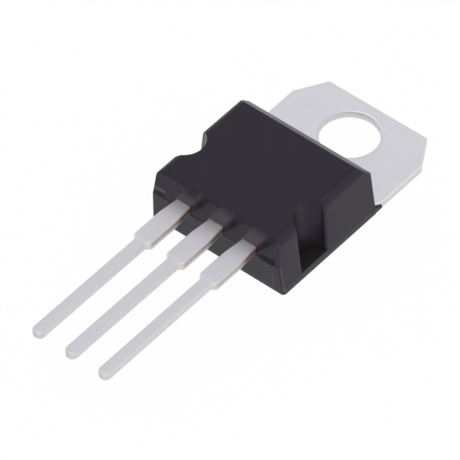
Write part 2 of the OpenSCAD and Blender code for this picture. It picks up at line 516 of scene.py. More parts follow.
class Graph:
    """Builds the node tree of a material, the floor or the world."""

    def __init__(self, tree: bpy.types.NodeTree) -> None:
        """Starts from an empty tree."""
        tree.nodes.clear()
        self.tree = tree

    def node(self, kind: str, settings: Mapping[str, Any] | None = None,
             inputs: Mapping[int | str, Any] | None = None) -> Outputs:
        """Adds a node.

        Args:
            kind: Type of the node.
            settings: The node's own settings.
            inputs: Value or link of each socket, by name or number.

        Returns:
            The node's outputs.
        """
        made = self.tree.nodes.new(kind)
        for key, value in (settings or {}).items():
            setattr(made, key, value)
        for key, value in (inputs or {}).items():
            socket = made.inputs[key]
            if isinstance(value, Value):
                self.tree.links.new(value.socket, socket)
            elif socket.type == "RGBA":
                socket.default_value = (*value, 1.0)
            else:
                socket.default_value = value
        return Outputs(self, made)

    def spot(self) -> Spot:
        """Returns the spot that is shaded."""
        inputs = {0: self.node("ShaderNodeTexCoord")["Object"], "Scale": 1 / MM}
        place = self.node("ShaderNodeVectorMath", {"operation": "SCALE"}, inputs)[0]
        facing = self.node("ShaderNodeNewGeometry")["Normal"]
        parts = [self.node("ShaderNodeSeparateXYZ", None, {0: vector}) for vector in (place, facing)]
        x, y, z, facing_x, facing_y, facing_z = (part[axis] for part in parts for axis in range(3))
        return Spot(place, x, y, z, abs(x), facing_x, facing_y, facing_z, abs(facing_x), abs(facing_z))

    def blend(self, factor: Number, first: Value | Colour, second: Value | Colour) -> Value:
        """Mixes two colours by the share of the second."""
        settings = {"data_type": "RGBA", "clamp_factor": True}
        return self.node("ShaderNodeMix", settings, {0: factor, 6: first, 7: second})[2]

    def coats(self, tone: Value | Colour, *coats: tuple[Value, Coat]) -> Value:
        """Lays coats on a colour.

        Args:
            tone: The colour below.
            coats: Where each coat lies, from 0 to 1, and the coat.

        Returns:
            The colour on top.
        """
        for mask, coat in coats:
            factor = mask if coat.cover == 1 else mask * coat.cover
            tone = self.blend(factor, tone, coat.colour)
        return tone

    def bump(self, height: Value, depth: float) -> Value:
        """Returns the surface's direction with a height pressed into it.

        Args:
            height: The height, from 0 to 1.
            depth: How deep a height of 1 is, in millimetres.

        Returns:
            The changed direction.
        """
        inputs = {"Height": height, "Distance": depth * MM, "Strength": 1.0}
        return self.node("ShaderNodeBump", None, inputs)[0]

    def skin(self, tone: Value, roughness: Number, normal: Value, metallic: Number = 0.0,
             ior: float = 1.5) -> Value:
        """Returns the shader of a solid surface.

        Args:
            tone: Its colour.
            roughness: Its roughness.
            normal: Its direction.
            metallic: How far it is metal.
            ior: Index of refraction of its skin.

        Returns:
            The shader.
        """
        inputs = {"Base Color": tone, "Roughness": roughness, "Normal": normal, "Metallic": metallic,
                  "IOR": ior}
        return self.node("ShaderNodeBsdfPrincipled", None, inputs)[0]

    def surface(self, shader: Value, kind: str = "ShaderNodeOutputMaterial") -> None:
        """Sends a shader to the tree's output."""
        self.node(kind, None, {"Surface": shader})


# ---------------------------------------------------------------- finishes


class Finish:
    """A finish of the part, named for the record's slot that it dresses."""

    slot: ClassVar[str] = ""

    def shade(self, graph: Graph, at: Spot) -> Value:
        """Builds the finish's nodes.

        Args:
            graph: Tree to build in.
            at: The spot that is shaded.

        Returns:
            The shader.
        """
        raise NotImplementedError

    def material(self) -> bpy.types.Material:
        """Makes a new material that holds the finish's nodes."""
        made = bpy.data.materials.new(type(self).__name__)
        made.use_nodes = True
        graph = Graph(made.node_tree)
        graph.surface(self.shade(graph, graph.spot()))
        return made


@dataclass(frozen=True)
class MouldingCompound(Finish):
    """Black epoxy filled with fine silica: a satin skin, glossier where the mould was polished."""

    slot: ClassVar[str] = "moulding"
    parting_z: float  # height of the parting line
    front_y: float  # place of the front wall
    top_z: float  # height of the case
    half_w: float  # half width of the case at its base
    root_z: float  # height of the leads' top
    pitch: float  # distance between the leads
    side_slope: float = 0.0857  # how far a side wall leans in for each unit of height
    low_slope: float = 0.112  # how far the front wall below the leads leans in
    # Colours
    colour: Colour = (0.0100, 0.0062, 0.0158)
    drifted: Coat = Coat((0.0135, 0.00837, 0.02133), 0.6)  # where the compound flowed thin
    silica: Coat = Coat((0.05, 0.05, 0.052), 0.25)
    worn: Coat = Coat((0.085, 0.082, 0.095))  # rubbed edges, with painted highlights and painted fill light
    dusty: Coat = Coat((0.021, 0.017, 0.020))  # painted fill light, browner, lifting the notches' shaded floors
    flash: Coat = Coat((0.072, 0.059, 0.072))  # painted reflection of each lead's top in the glossy front wall above it
    rust: Coat = Coat((0.062, 0.042, 0.038))  # painted reflection of each lead's copper side, beside the lead on the front wall
    # Roughness
    satin: float = 0.52  # the top
    drawn: float = 0.4  # the walls that slid along the mould
    polished: float = 0.22  # the front wall above the leads
    glossy: float = 0.37  # the chamfer along the top rear edge
    low_matt: float = 0.05  # what the front wall below the leads adds
    uneven: float = 0.1  # what the noises add
    ior: float = 1.33
    # Texture
    grain: Noise = Noise(16.0, 4.0, 0.65)
    flow: Noise = Noise(0.9, 4.0, squeeze=(1.0, 0.45, 1.0))
    filler: Specks = Specks(9.0, 0.16)
    patches: Noise = Noise(3.0, 4.0)
    patch_edge: Step = (0.25, 0.55)
    flow_edge: Step = (0.3, 0.7)
    flow_depth: float = 0.4  # depth of the flow's waves, as a share of the grain's
    grain_depth: float = 0.004
    # Zones of the case
    wall: Patch = Patch(facing_z=(0.65, 0.3))
    front: Patch = Patch(z=(0.0, 0.06), facing_y=(-0.6, -0.95))  # from the parting line up
    low_front: Patch = Patch(z=(0.05, 0.0), facing_y=(-0.6, -0.95))  # from the parting line down
    chamfer: Patch = Patch(facing_y=(0.3, 0.6), facing_z=(0.3, 0.6))
    low: Patch = Patch(z=(0.1, -0.1))  # from the parting line
    crown: Patch = Patch(z=(-0.7, -0.35))  # from the top
    by_front: Patch = Patch(y=(1.2, 0.9))  # from the front wall
    right: Patch = Patch(x=(4.5, 4.7))
    # Rubbed edges and painted light: highlights, a light streak and fill light
    corner_turn: Step = (0.2, 0.4)
    corner_reach: Step = (-0.2, -0.1)  # from the side wall
    # lightening of the upright edges: rubbed wear, with a painted highlight on the front corners
    corner_wear: float = 0.16
    front_wear: float = 0.1
    low_wear: float = 0.14  # how much less of it shows below the parting line
    # painted highlight near the top of the front corners
    crown_wear: float = 0.4
    wear_even: float = 0.7  # share of the lightening that isn't patchy
    # painted fill light on the side bevels, which would otherwise render as a dark band between the top and
    # the sides
    bevel: Patch = Patch(0.16, facing_aside=(0.35, 0.95, 0.3), facing_z=(0.3, 0.93, 0.25))
    # painted highlight on the upper lip of the input side's dimple
    scuff: Patch = Patch(0.9, x=(-4.78, -3.98, 0.2), z=(2.93, 3.11, 0.08), facing_y=(-0.2, -0.5))
    # painted highlight down the rounded lower front corner on the output side; strip_depth, strip_foot and
    # strip_cover shape it
    strip: Patch = Patch(z=(0.12, 0.4), facing_x=(0.4, 0.8))
    strip_depth: Band = (0.05, 0.25, 0.12)  # behind the leaning front wall
    strip_foot: Patch = Patch(z=(0.9, 0.4))
    strip_cover: float = 0.4
    # light vertical streak on the lower front wall near the output corner
    scrape: Patch = Patch(0.25, x=(4.23, 4.41, 0.14), z=(0.3, 1.4, 0.5), facing_y=(-0.6, -0.95))
    ledge: Patch = Patch(0.45, z=(-0.08, 0.03, 0.04), facing_z=(0.3, 0.8))  # painted fill light on the parting ledge, which lies in shade; from the parting line
    ledge_left: Patch = Patch(x=(3.3, 3.1))
    # Painted reflections of the leads in the front wall
    stain_slant: float = 0.6  # how far a painted reflection drifts sideways for each unit of height
    stain_reach: Step = (3.7, 3.6)
    on_front: Patch = Patch(facing_y=(-0.3, -0.8))
    above_root: Patch = Patch(z=(-0.1, 0.0))  # from the leads' top
    flash_band: Band = (-0.55, 0.55, 0.34)
    flash_high: Patch = Patch(z=(4.95, 3.6))
    flash_left: Patch = Patch(z=(4.2, 3.45))
    past_left_lead: Patch = Patch(x=(-1.8, -1.3))
    flash_cover: float = 0.62
    flash_flow: float = 0.5
    rust_band: Band = (0.5, 0.95, 0.3)
    rust_high: Patch = Patch(z=(3.9, 2.95))
    rust_cover: float = 0.4
    past_right_lead: Patch = Patch(x=(2.6, 3.0))
    right_fade: float = 0.35
    # Painted fill light on the notches' floors
    notch_floor: Patch = Patch(z=(1.6, 0.5), aside=(3.3, 3.5), y=(1.9, 4.6, 0.2))  # y from the front wall
    inside_wall: Patch = Patch(aside=(0.02, -0.12))  # from the side wall

    def shade(self, graph: Graph, at: Spot) -> Value:
        """Builds the compound.

        Args:
            graph: Tree to build in.
            at: The spot that is shaded.

        Returns:
            The shader.
        """
        grain = self.grain.read(at.place)
        flow = self.flow.read(at.place)
        patchy = self.patches.read(at.place).rise(*self.patch_edge)
        low = self.low.mask(at, z=self.parting_z)
        tone = graph.coats(
            self.colour,
            (flow.rise(*self.flow_edge), self.drifted),
            (self.filler.read(at.place), self.silica),
            # painted fill light on the side bevels
            (self.bevel.mask(at), self.worn),
            # rubbed edges with painted highlights, a light streak and painted fill light on the ledge
            (self._wear(at, patchy, low).most(self._rubs(at, low)), self.worn),
            # painted reflections of the leads in the front wall
            *self._stains(at, flow, patchy, low),
            # painted fill light on the notches' floors
            (self.notch_floor.mask(at, y=self.front_y) * self.inside_wall.mask(at, aside=self.half_w),
             self.dusty))
        roughness = (
            self.satin - self.wall.mask(at) * (self.satin - self.drawn)
            - self.front.mask(at, z=self.parting_z) * (self.drawn - self.polished)
            - self.chamfer.mask(at) * (self.satin - self.glossy)
            + self.low_front.mask(at, z=self.parting_z) * self.low_matt
            + self.uneven * (flow - 0.5) + self.uneven * (grain - 0.5))
        normal = graph.bump(grain + self.flow_depth * flow, self.grain_depth)
        return graph.skin(tone, roughness, normal, ior=self.ior)

    def _wear(self, at: Spot, patchy: Value, low: Value) -> Value:
        """Returns how far the upright edges are lightened: rubbed wear, with a painted highlight on the
        front corners that is strongest near their top.

        Args:
            at: The spot.
            patchy: Where the lightening is strong.
            low: 1 below the parting line.

        Returns:
            The wear, from 0 to 1.
        """
        turn = abs(at.facing_x * at.facing_y).rise(*self.corner_turn)
        by_side = (at.aside + self.side_slope * at.z - self.half_w).rise(*self.corner_reach)
        extra = self.front_wear - self.low_wear * low + self.crown_wear * self.crown.mask(at, z=self.top_z)
        strength = self.corner_wear + self.by_front.mask(at, y=self.front_y) * extra
        return turn * by_side * strength * (self.wear_even + (1 - self.wear_even) * patchy)

    def _rubs(self, at: Spot, low: Value) -> Value:
        """Returns the single light marks: a painted highlight on a dimple's lip and down a lower front
        corner, a light streak on the lower front wall, and painted fill light on the parting ledge.

        Args:
            at: The spot.
            low: 1 below the parting line.

        Returns:
            The strongest mark's cover, from 0 to 1.
        """
        scuff = self.scuff.mask(at) * self.by_front.mask(at, y=self.front_y)
        behind = at.y - self.front_y - self.low_slope * (self.parting_z - at.z)
        right = self.right.mask(at)
        strip = self.strip.mask(at) * right * behind.within(*self.strip_depth) * low
        strip = strip * (self.strip_cover + self.strip_cover * self.strip_foot.mask(at))
        ledge = self.ledge.mask(at, z=self.parting_z) * self.ledge_left.mask(at).most(right)
        return reduce(Value.most, (scuff, strip, self.scrape.mask(at), ledge))

    def _stains(self, at: Spot, flow: Value, patchy: Value, low: Value) -> tuple[tuple[Value, Coat], ...]:
        """Returns the coats of painted reflection in the front wall: each lead's top above it and its copper
        side beside it.

        Args:
            at: The spot.
            flow: Noise of the compound's flow.
            patchy: Where the side reflection is strong.
            low: 1 below the parting line.

        Returns:
            Where each coat lies, and the coat.
        """
        slide = at.x - self.stain_slant * (at.z - self.root_z)
        off_lead = slide.wrapped(self.pitch / 2)
        over_leads = self.on_front.mask(at) * abs(slide).rise(*self.stain_reach)
        fade = self.flash_high.mask(at) * self.past_left_lead.mask(at).most(self.flash_left.mask(at))
        flash = off_lead.within(*self.flash_band) * fade * self.above_root.mask(at, z=self.root_z)
        rust = off_lead.within(*self.rust_band) * self.rust_high.mask(at) * (1 - low)
        rust = rust * (1 - self.right_fade * self.past_right_lead.mask(at))
        return ((flash * over_leads * (self.flash_cover + self.flash_flow * flow), self.flash),
                (rust * over_leads * (self.rust_cover + self.rust_cover * patchy), self.rust))


@dataclass(frozen=True)
class PlatedCopper(Finish):
    """Rolled copper sheet with matt tin: bare copper shows on the cut sides near the case."""

    slot: ClassVar[str] = "plated_metal"
    lead_z: float  # height of the leads' underside
    sheet_t: float  # thickness of the sheet
    hole_r: float  # radius of the mounting hole
    tip_y: float  # place of the leads' tips
    root_y: float = -13.98  # where the lead's root ends
    shoulder_y: float = -16.47  # where the wide part ends
    # Colours
    tin: Colour = (0.632, 0.625, 0.672)
    lead_tin: Colour = (0.582, 0.577, 0.62)  # tin on top of the leads
    clouded: Coat = Coat((0.57, 0.545, 0.585), 0.25)
    grained: Coat = Coat((0.53, 0.53, 0.57), 0.25)
    torn: Coat = Coat((0.80, 0.79, 0.81), 0.85)  # the hole's wall and the tab's end
    cut: Coat = Coat((0.735, 0.727, 0.748), 0.9)  # the other cut sides
    rolled_edge: Coat = Coat((0.80, 0.795, 0.80))  # painted highlight along the rolled top edges
    blush: Coat = Coat((0.70, 0.62, 0.615))  # thin tin over copper, beside the case
    pitted: Coat = Coat((0.34, 0.34, 0.35), 0.3)
    copper: Coat = Coat((0.31, 0.235, 0.23), 0.5)  # line of bare copper along the wide part
    oxide: Coat = Coat((0.36, 0.215, 0.18), 0.85)  # oxidised copper of the leads' root
    tarnish: Coat = Coat((0.11, 0.032, 0.025))  # its darkest stain
    tip_blush: Coat = Coat((0.60, 0.42, 0.42))
    cream: Coat = Coat((0.80, 0.79, 0.72))  # lighter cream tone on the shoulders' sloped facets
    # Covers
    edge_cover: float = 0.8
    lead_edge_loss: float = 0.45  # how much less of it covers a lead's edge
    blush_cover: float = 0.28
    blush_grain: float = 0.8
    oxide_skin: float = 0.8  # how far the oxide takes the metal's shine
    tarnish_cover: float = 0.65
    tarnish_blot: float = 0.5
    # Roughness
    matt: float = 0.44
    grain_matt: float = 0.14
    cloud_matt: float = 0.06
    lead_matt: float = 0.08
    side_matt: float = 0.04
    hole_matt: float = 0.3
    # Texture
    grain: Noise = Noise(11.0, 4.0, 0.7)
    grain_edge: Step = (0.35, 0.75)
    cloud: Noise = Noise(0.7)
    cloud_edge: Step = (0.3, 0.7)
    rolled: Noise = Noise(1.0, squeeze=(9.0, 0.35, 9.0))
    rolled_depth: float = 0.35  # depth of the rolling lines, as a share of the grain's
    pits: Specks = Specks(5.0, 0.12)
    pit_depth: float = 0.6
    side_smooth: float = 0.75  # share of the grain that a cut side lacks
    grain_depth: float = 0.003
    blot: Noise = Noise(3.5, 3.0, 0.6)
    # Zones of the sheet
    upright: Patch = Patch(level=(0.7, 0.3))
    side: Patch = Patch(facing_aside=(0.55, 0.95))
    tab_end: Patch = Patch(facing_y=(0.3, 0.45))
    hole_reach: Step = (1.4, 1.0)  # beyond the square of the hole's radius
    top_edge: Patch = Patch(facing_z=(0.3, 0.93, 0.2))
    root: Patch = Patch(y=(-0.2, 0.45))  # from the root's end
    tip: Patch = Patch(0.4, y=(0.34, 0.1), facing_x=(0.45, -0.1))  # y from the tip
    slant: Patch = Patch(0.4, facing_y=(-0.92, -0.4, 0.2), y=(-0.4, 0.1, 0.1))  # y from the shoulder
    wide_overlap: float = 0.1  # how far the wide part's marks pass its ends
    wide_soft: float = 0.12
    # Heights in the leads' sheet, from 0 at the underside to 1 at the top
    lead_rise: Step = (-0.5, -0.2)
    tip_rise: Step = (0.0, 0.4)
    oxide_top: Step = (0.96, 0.74)
    copper_band: Band = (0.5, 0.76, 0.22)
    copper_waver: float = 0.15
    tarnish_band: Band = (0.32, 0.76, 0.2)
    tarnish_waver: float = 0.3

    def shade(self, graph: Graph, at: Spot) -> Value:
        """Builds the plated sheet.

        Args:
            graph: Tree to build in.
            at: The spot that is shaded.

        Returns:
            The shader.
        """
        grain, cloud, rolled, pits, blot = (
            texture.read(at.place)
            for texture in (self.grain, self.cloud, self.rolled, self.pits, self.blot))
        height = (at.z - self.lead_z) / self.sheet_t
        lead = height.rise(*self.lead_rise)
        side, upright = self.side.mask(at), self.upright.mask(at)
        in_hole = (at.x * at.x + at.y * at.y - self.hole_r ** 2).rise(*self.hole_reach)
        torn = in_hole.most(self.tab_end.mask(at))
        cut = upright * (1 - torn)
        edge = self.top_edge.mask(at) * (1 - torn)
        wide = lead * at.y.within(self.shoulder_y - self.wide_overlap, self.root_y + self.wide_overlap,
                                  self.wide_soft)
        root = lead * self.root.mask(at, y=self.root_y)
        bare = side * wide * (height + self.copper_waver * (cloud - 0.5)).within(*self.copper_band)
        flank = side * root * height.rise(*self.oxide_top)
        stained = flank * (height + self.tarnish_waver * (blot - 0.5)).within(*self.tarnish_band)
        blush = (self.blush_cover + self.blush_grain * grain).most(0.0)
        tip = self.tip.mask(at, y=self.tip_y) * height.rise(*self.tip_rise)
        slant = lead * self.slant.mask(at, y=self.shoulder_y)
        tone = graph.coats(
            graph.blend(lead, self.tin, self.lead_tin),
            (cloud.rise(*self.cloud_edge), self.clouded),
            (grain.rise(*self.grain_edge) * (1 - side), self.grained),
            (torn * upright, self.torn),
            (cut, self.cut),
            # painted highlight along the rolled top edges
            (edge * (self.edge_cover - self.lead_edge_loss * lead), self.rolled_edge),
            (wide.most(root) * cut.most(edge) * blush, self.blush),
            (pits * (1 - cut), self.pitted),
            (bare, self.copper),
            (flank, self.oxide),
            (stained * (self.tarnish_cover + self.tarnish_blot * blot), self.tarnish),
            (tip, self.tip_blush),
            (slant, self.cream))
        roughness = (self.matt + self.grain_matt * (grain - 0.5) + self.cloud_matt * (cloud - 0.5)
                     + self.lead_matt * lead + self.side_matt * side + self.hole_matt * in_hole * upright)
        pressed = (grain - self.pit_depth * pits) * (1 - self.side_smooth * side)
        normal = graph.bump(pressed + self.rolled_depth * rolled, self.grain_depth)
        return graph.skin(tone, roughness, normal, metallic=1 - self.oxide_skin * flank)


@dataclass(frozen=True)
class Silicon(Finish):
    """Polished chip with a faint grid of cells under its glassy top."""

    slot: ClassVar[str] = "silicon"
    colour: Colour = (0.10, 0.11, 0.14)  # between the cells
    cells: tuple[Colour, Colour] = ((0.16, 0.17, 0.2), (0.1, 0.12, 0.16))
    cell: tuple[float, float] = (0.28, 0.2)  # length and width of a cell
    gap: float = 0.02  # width between cells
    dust: Noise = Noise(12.0, 4.0)
    dusting: Coat = Coat((0.22, 0.2, 0.24), 0.3)
    dust_edge: Step = (0.45, 0.8)
    dust_height: float = 0.2
    metal: float = 0.6
    gloss: float = 0.16
    dust_matt: float = 0.12
    relief: float = 0.002

    def shade(self, graph: Graph, at: Spot) -> Value:
        """Builds the chip.

        Args:
            graph: Tree to build in.
            at: The spot that is shaded.

        Returns:
            The shader.
        """
        cells = graph.node("ShaderNodeTexBrick", {"offset": 0.0}, {
            "Vector": at.place, "Color1": self.cells[0], "Color2": self.cells[1], "Mortar": self.colour,
            "Scale": 1.0, "Mortar Size": self.gap, "Brick Width": self.cell[0], "Row Height": self.cell[1]})
        dust = self.dust.read(at.place)
        tone = graph.coats(cells["Color"], (dust.rise(*self.dust_edge), self.dusting))
        normal = graph.bump(cells["Fac"] + self.dust_height * dust, self.relief)
        return graph.skin(tone, self.gloss + self.dust_matt * dust, normal, metallic=self.metal)


@dataclass(frozen=True)
class SoftSolder(Finish):
    """Solder that flowed under the chip: satin grey with a frosty grain."""

    slot: ClassVar[str] = "solder"
    colour: Colour = (0.42, 0.42, 0.44)
    frosted: Coat = Coat((0.56, 0.56, 0.58), 0.6)
    dull: Coat = Coat((0.33, 0.32, 0.33), 0.4)
    frost: Noise = Noise(8.0, 5.0, 0.7)
    frost_edge: Step = (0.35, 0.7)
    swirl: Noise = Noise(1.5)
    swirl_edge: Step = (0.5, 0.8)
    gloss: float = 0.26
    frost_matt: float = 0.2
    relief: float = 0.006

    def shade(self, graph: Graph, at: Spot) -> Value:
        """Builds the solder.

        Args:
            graph: Tree to build in.
            at: The spot that is shaded.

        Returns:
            The shader.
        """
        frost = self.frost.read(at.place)
        swirl = self.swirl.read(at.place)
        tone = graph.coats(self.colour, (frost.rise(*self.frost_edge), self.frosted),
                           (swirl.rise(*self.swirl_edge), self.dull))
        roughness = self.gloss + self.frost_matt * frost
        return graph.skin(tone, roughness, graph.bump(frost + swirl, self.relief), metallic=1.0)


@dataclass(frozen=True)
class DrawnWire(Finish):
    """Drawn aluminium wire with faint lines from the die that drew it."""

    slot: ClassVar[str] = "bond_wire"
    colour: Colour = (0.74, 0.75, 0.77)
    filmed: Coat = Coat((0.6, 0.61, 0.64), 0.5)
    lines: Noise = Noise(1.0, 4.0, squeeze=(20.0, 2.0, 20.0))
    film: Noise = Noise(3.0, 4.0)
    film_edge: Step = (0.4, 0.7)
    gloss: float = 0.26
    line_matt: float = 0.14
    relief: float = 0.002

    def shade(self, graph: Graph, at: Spot) -> Value:
        """Builds the wire.

        Args:
            graph: Tree to build in.
            at: The spot that is shaded.

        Returns:
            The shader.
        """
        lines = self.lines.read(at.place)
        film = self.film.read(at.place).rise(*self.film_edge)
        tone = graph.coats(self.colour, (film, self.filmed))
        roughness = self.gloss + self.line_matt * lines
        return graph.skin(tone, roughness, graph.bump(lines, self.relief), metallic=1.0)


# ---------------------------------------------------------------- pieces

# Points along the parts of the case's outline
NOTCH_POINTS = 44
EDGE_POINTS = 8
CORNER_POINTS = 16
FLAT_POINTS = 8
WALL_POINTS = 5
DIMPLE_POINTS = 54
# Heights at which the case is outlined
DIMPLE_LEVELS = 36
LOW_LEVELS = 6
HIGH_LEVELS = 5
RIM_LEVELS = 7


class Piece:
    """What every rebuilt piece shares: its name, its node and its place in the model."""

    name: str
    node: str
    sharp_angle: ClassVar[float] = 40.0

    def build(self) -> bpy.types.Object:
        """Builds the piece in millimetres."""
        raise NotImplementedError

    def dress(self, made: bpy.types.Object, finish: Finish, material: bpy.types.Material) -> None:
        """Turns a built piece into metres, smooths it and gives it its finish and its body.

        Args:
            made: The built piece.
            finish: The finish that the piece takes; not used.
            material: Material of that finish.
        """
        made.data.transform(Matrix.Scale(MM, 4))
        made.data.materials.clear()
        made.data.materials.append(material)
        made.data.polygons.foreach_set("material_index", [0] * len(made.data.polygons))
        made.data.shade_smooth()
        made.data.set_sharp_from_angle(angle=math.radians(self.sharp_angle))
        weighted = made.modifiers.new("weighted_normal", "WEIGHTED_NORMAL")
        weighted.keep_sharp = True
        weighted.weight = 100
        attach(made, "root")
        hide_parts(self.node)


@dataclass(frozen=True)
class Pad:
    """The sheet's sizes where the moulding holds it."""

    wedge_l: float = 0.7  # length of the wedge of moulding beside the tab
    wedge_w: float = 0.22  # width of that wedge at the case
    neck_l: float = 0.6  # length of the full-width neck behind the rear wall
    side_wall: float = 1.4  # width of the moulding at each side of the pad
    length: float = 6.5  # length of the pad behind the rear wall


@dataclass(frozen=True)
class Dimple:
    """A round groove pressed into the front wall."""

    section_r: float  # radius of the groove's section
    depth: float  # depth of the dimple
    inset: float  # distance from its middle to the side
    rise: float  # height of its middle above the leads' underside
    radius: float = 1.0  # radius of the groove

    def depths(self, across: np.ndarray, rise: float) -> np.ndarray:
        """Returns how far behind the front wall the groove lies.

        Args:
            across: Distances from the dimple's middle.
            rise: Height above the leads' underside.

        Returns:
            The depth at each distance, negative where the groove lies before the wall.
        """
        above = rise - self.rise
        section = math.sqrt(max(self.section_r ** 2 - above ** 2, 0.0))
        over = max(0.0, abs(above) - self.section_r)
        ring = self.radius - self.section_r + section
        return self.depth - self.radius - over + np.sqrt(np.maximum(ring ** 2 - across ** 2, 0))


@dataclass
class Case(Piece):
    """The moulded case: drafted walls, a round notch in each side and a dimple at each end of the front."""

    places: Places
    name: str = "moulded_case"
    node: str = "case"
    pad: Pad = Pad()
    wedge_thin: float = 0.4  # height of a wedge's tip as a share of its height at the case
    side_draft: float = 4.9  # draft of the side walls in degrees
    rear_draft: float = 3.1  # draft of the rear wall in degrees
    front_draft: float = 5.4  # draft of the front wall above the leads in degrees
    lower_draft: float = 6.4  # draft of the front wall below the leads in degrees
    parting_step: float = 0.04  # set-back of the upper front wall
    side_bevel: float = 0.36  # bevel along both top side edges
    front_bevel: float = 0.1  # bevel along the top front edge
    crest_back: float = 0.04  # how far that bevel sets the edge back
    chamfer_l: float = 1.05  # length of the chamfer along the top rear edge
    chamfer_h: float = 1.06  # height of that chamfer
    notch_r: tuple[float, float] = (1.15, 1.38)  # radius of a notch at its floor and at the top
    notch_to_front: float = 3.24  # distance from a notch's axis to the front, at its floor
    notch_lean: float = 0.04  # how far the axis leans to the front at the top
    # Dimple on the input side
    input_dimple: Dimple = Dimple(section_r=0.14, depth=0.12, inset=0.84, rise=0.19)
    # Dimple on the output side
    output_dimple: Dimple = Dimple(section_r=0.22, depth=0.22, inset=1.09, rise=0.08)
    dimple_reach: float = 2.05  # how far from the side a dimple may reach
    # Heights and radii of the upright rear edges
    rear_corner_r: tuple[tuple[float, ...], tuple[float, ...]] = ((0, 3.4, 4.5), (0.05, 0.16, 0.2))
    input_corner_r: float = 0.06  # radius of the upright front edge on the input side
    # Heights and radii of the upright front edge on the output side
    output_corner_r: tuple[tuple[float, ...], tuple[float, ...]] = ((0, 0.6, 4.5), (0.24, 0.11, 0.08))
    foot_r: float = 0.015  # radius of the walls' bottom edges
    bevel_r: float = 0.6  # radius of the side bevel's edges
    chamfer_r: tuple[float, float] = (0.16, 0.12)  # radii of the chamfer's lower and upper edge
    parting_r: float = 0.03  # radius of the edge of the parting ledge
    crest_r: float = 0.2  # radius of the top front edge
    notch_edge_r: float = 0.17  # radius of a notch's upright edges
    rim_r: float = 0.08  # radius of a notch's rim at the top
    lip: tuple[float, float] = (0.03, 0.2)  # width over which a dimple's lower and upper lip is rounded
    dimple_far: float = 1.0  # how far behind the front the outline still counts as the front wall
    sheet_gap: float = 0.01  # gap between the moulding and the sheet
    wedge_root: float = 0.3  # length of a wedge inside the case
    wedge_h: float = 0.92  # height of a wedge at the case, as a share of the sheet
    wedge_r: tuple[float, float] = (0.01, 0.02)  # bevels of a wedge's lower and upper edges
    recess_h: float = 0.6  # depth of the recess for the sheet, as a share of the sheet
    recess_r: tuple[float, float, float] = (0.08, 0.1, 0.2)  # radii at its neck, shoulder and end
    least_step: float = 0.004  # least distance between two outlined heights

    def __post_init__(self) -> None:
        """Works out the walls' profiles."""
        self.half_w = self.places.case_high.x
        self.top_z = self.places.case_high.z
        self.front_y = self.places.case_low.y
        self.rear_y = self.places.case_high.y - self.pad.wedge_l
        self.middle_y = (self.rear_y + self.front_y) / 2
        self.floor_z = self.places.sheet_t
        self.part_z = self.places.lead_z
        self.side = self._side_profile()
        self.rear = self._rear_profile()
        self.low_front = self._low_front_profile()
        self.high_front = self._high_front_profile()

    @staticmethod
    def _lean(height: float, draft: float) -> float:
        """Returns how far a wall leans in over a height, for its draft in degrees."""
        return height * math.tan(math.radians(draft))

    def _side_profile(self) -> np.ndarray:
        """Returns the side wall's half width against height."""
        bevel_z = self.top_z - self.side_bevel
        bevel_x = self.half_w - self._lean(bevel_z, self.side_draft)
        corners = [Corner(0, 0), Corner(self.half_w, 0, self.foot_r),
                   Corner(bevel_x, bevel_z, self.bevel_r),
                   Corner(bevel_x - self.side_bevel, self.top_z, self.bevel_r), Corner(0, self.top_z)]
        return rounded(corners, closed=False, turn=6)[1:-1]

    def _rear_profile(self) -> np.ndarray:
        """Returns the rear wall's place against height."""
        chamfer_z = self.top_z - self.chamfer_h
        chamfer_y = self.rear_y - self._lean(chamfer_z, self.rear_draft)
        corners = [Corner(self.middle_y, 0), Corner(self.rear_y, 0, self.foot_r),
                   Corner(chamfer_y, chamfer_z, self.chamfer_r[0]),
                   Corner(chamfer_y - self.chamfer_l, self.top_z, self.chamfer_r[1]),
                   Corner(self.middle_y, self.top_z)]
        return rounded(corners, closed=False, turn=6)[1:-1]

    def _low_front_profile(self) -> np.ndarray:
        """Returns the place of the front wall below the leads against height."""
        low_y = self.front_y + self._lean(self.part_z, self.lower_draft)
        corners = [Corner(self.middle_y, 0), Corner(low_y, 0, self.foot_r),
                   Corner(self.front_y, self.part_z, self.parting_r), Corner(self.middle_y, self.part_z)]
        return rounded(corners, closed=False, turn=12)[1:-1]

    def _high_front_profile(self) -> np.ndarray:
        """Returns the place of the front wall above the leads' underside against height."""
        bevel_h = self.top_z - self.front_bevel - self.part_z
        step_y = self.front_y + self.parting_step
        crest_y = step_y + self._lean(bevel_h, self.front_draft) + self.crest_back
        corners = [Corner(step_y, self.part_z), Corner(crest_y, self.top_z, self.crest_r),
                   Corner(self.middle_y, self.top_z)]
        return rounded(corners, closed=False, turn=8)[:-1]

    @staticmethod
    def _at(profile: np.ndarray, z: float) -> float:
        """Returns a profile's place at a height."""
        return float(np.interp(z, profile[:, 1], profile[:, 0]))

    def _levels(self) -> np.ndarray:
        """Returns the heights at which the case is outlined."""
        dimples = (self.input_dimple, self.output_dimple)
        groove_low = self.part_z + min(dimple.rise - dimple.section_r for dimple in dimples)
        groove_top = self.part_z + max(dimple.rise + dimple.section_r for dimple in dimples) + self.lip[1]
        rim = ray(np.linspace(0, math.pi / 2, RIM_LEVELS))[:, 1]
        profiles = (self.side, self.rear, self.low_front, self.high_front)
        every = np.sort(np.concatenate([
            *(profile[:, 1] for profile in profiles), np.linspace(groove_low, groove_top, DIMPLE_LEVELS),
            np.linspace(self.floor_z, groove_low, LOW_LEVELS),
            np.linspace(groove_top, self.top_z, HIGH_LEVELS), self.top_z - self.rim_r * (1 - rim)]))
        kept = [0.0, self.floor_z, self.part_z, self.top_z]
        for z in every:
            if min(abs(z - other) for other in kept) > self.least_step and 0 < z < self.top_z:
                kept.append(float(z))
        return np.array(sorted(kept))

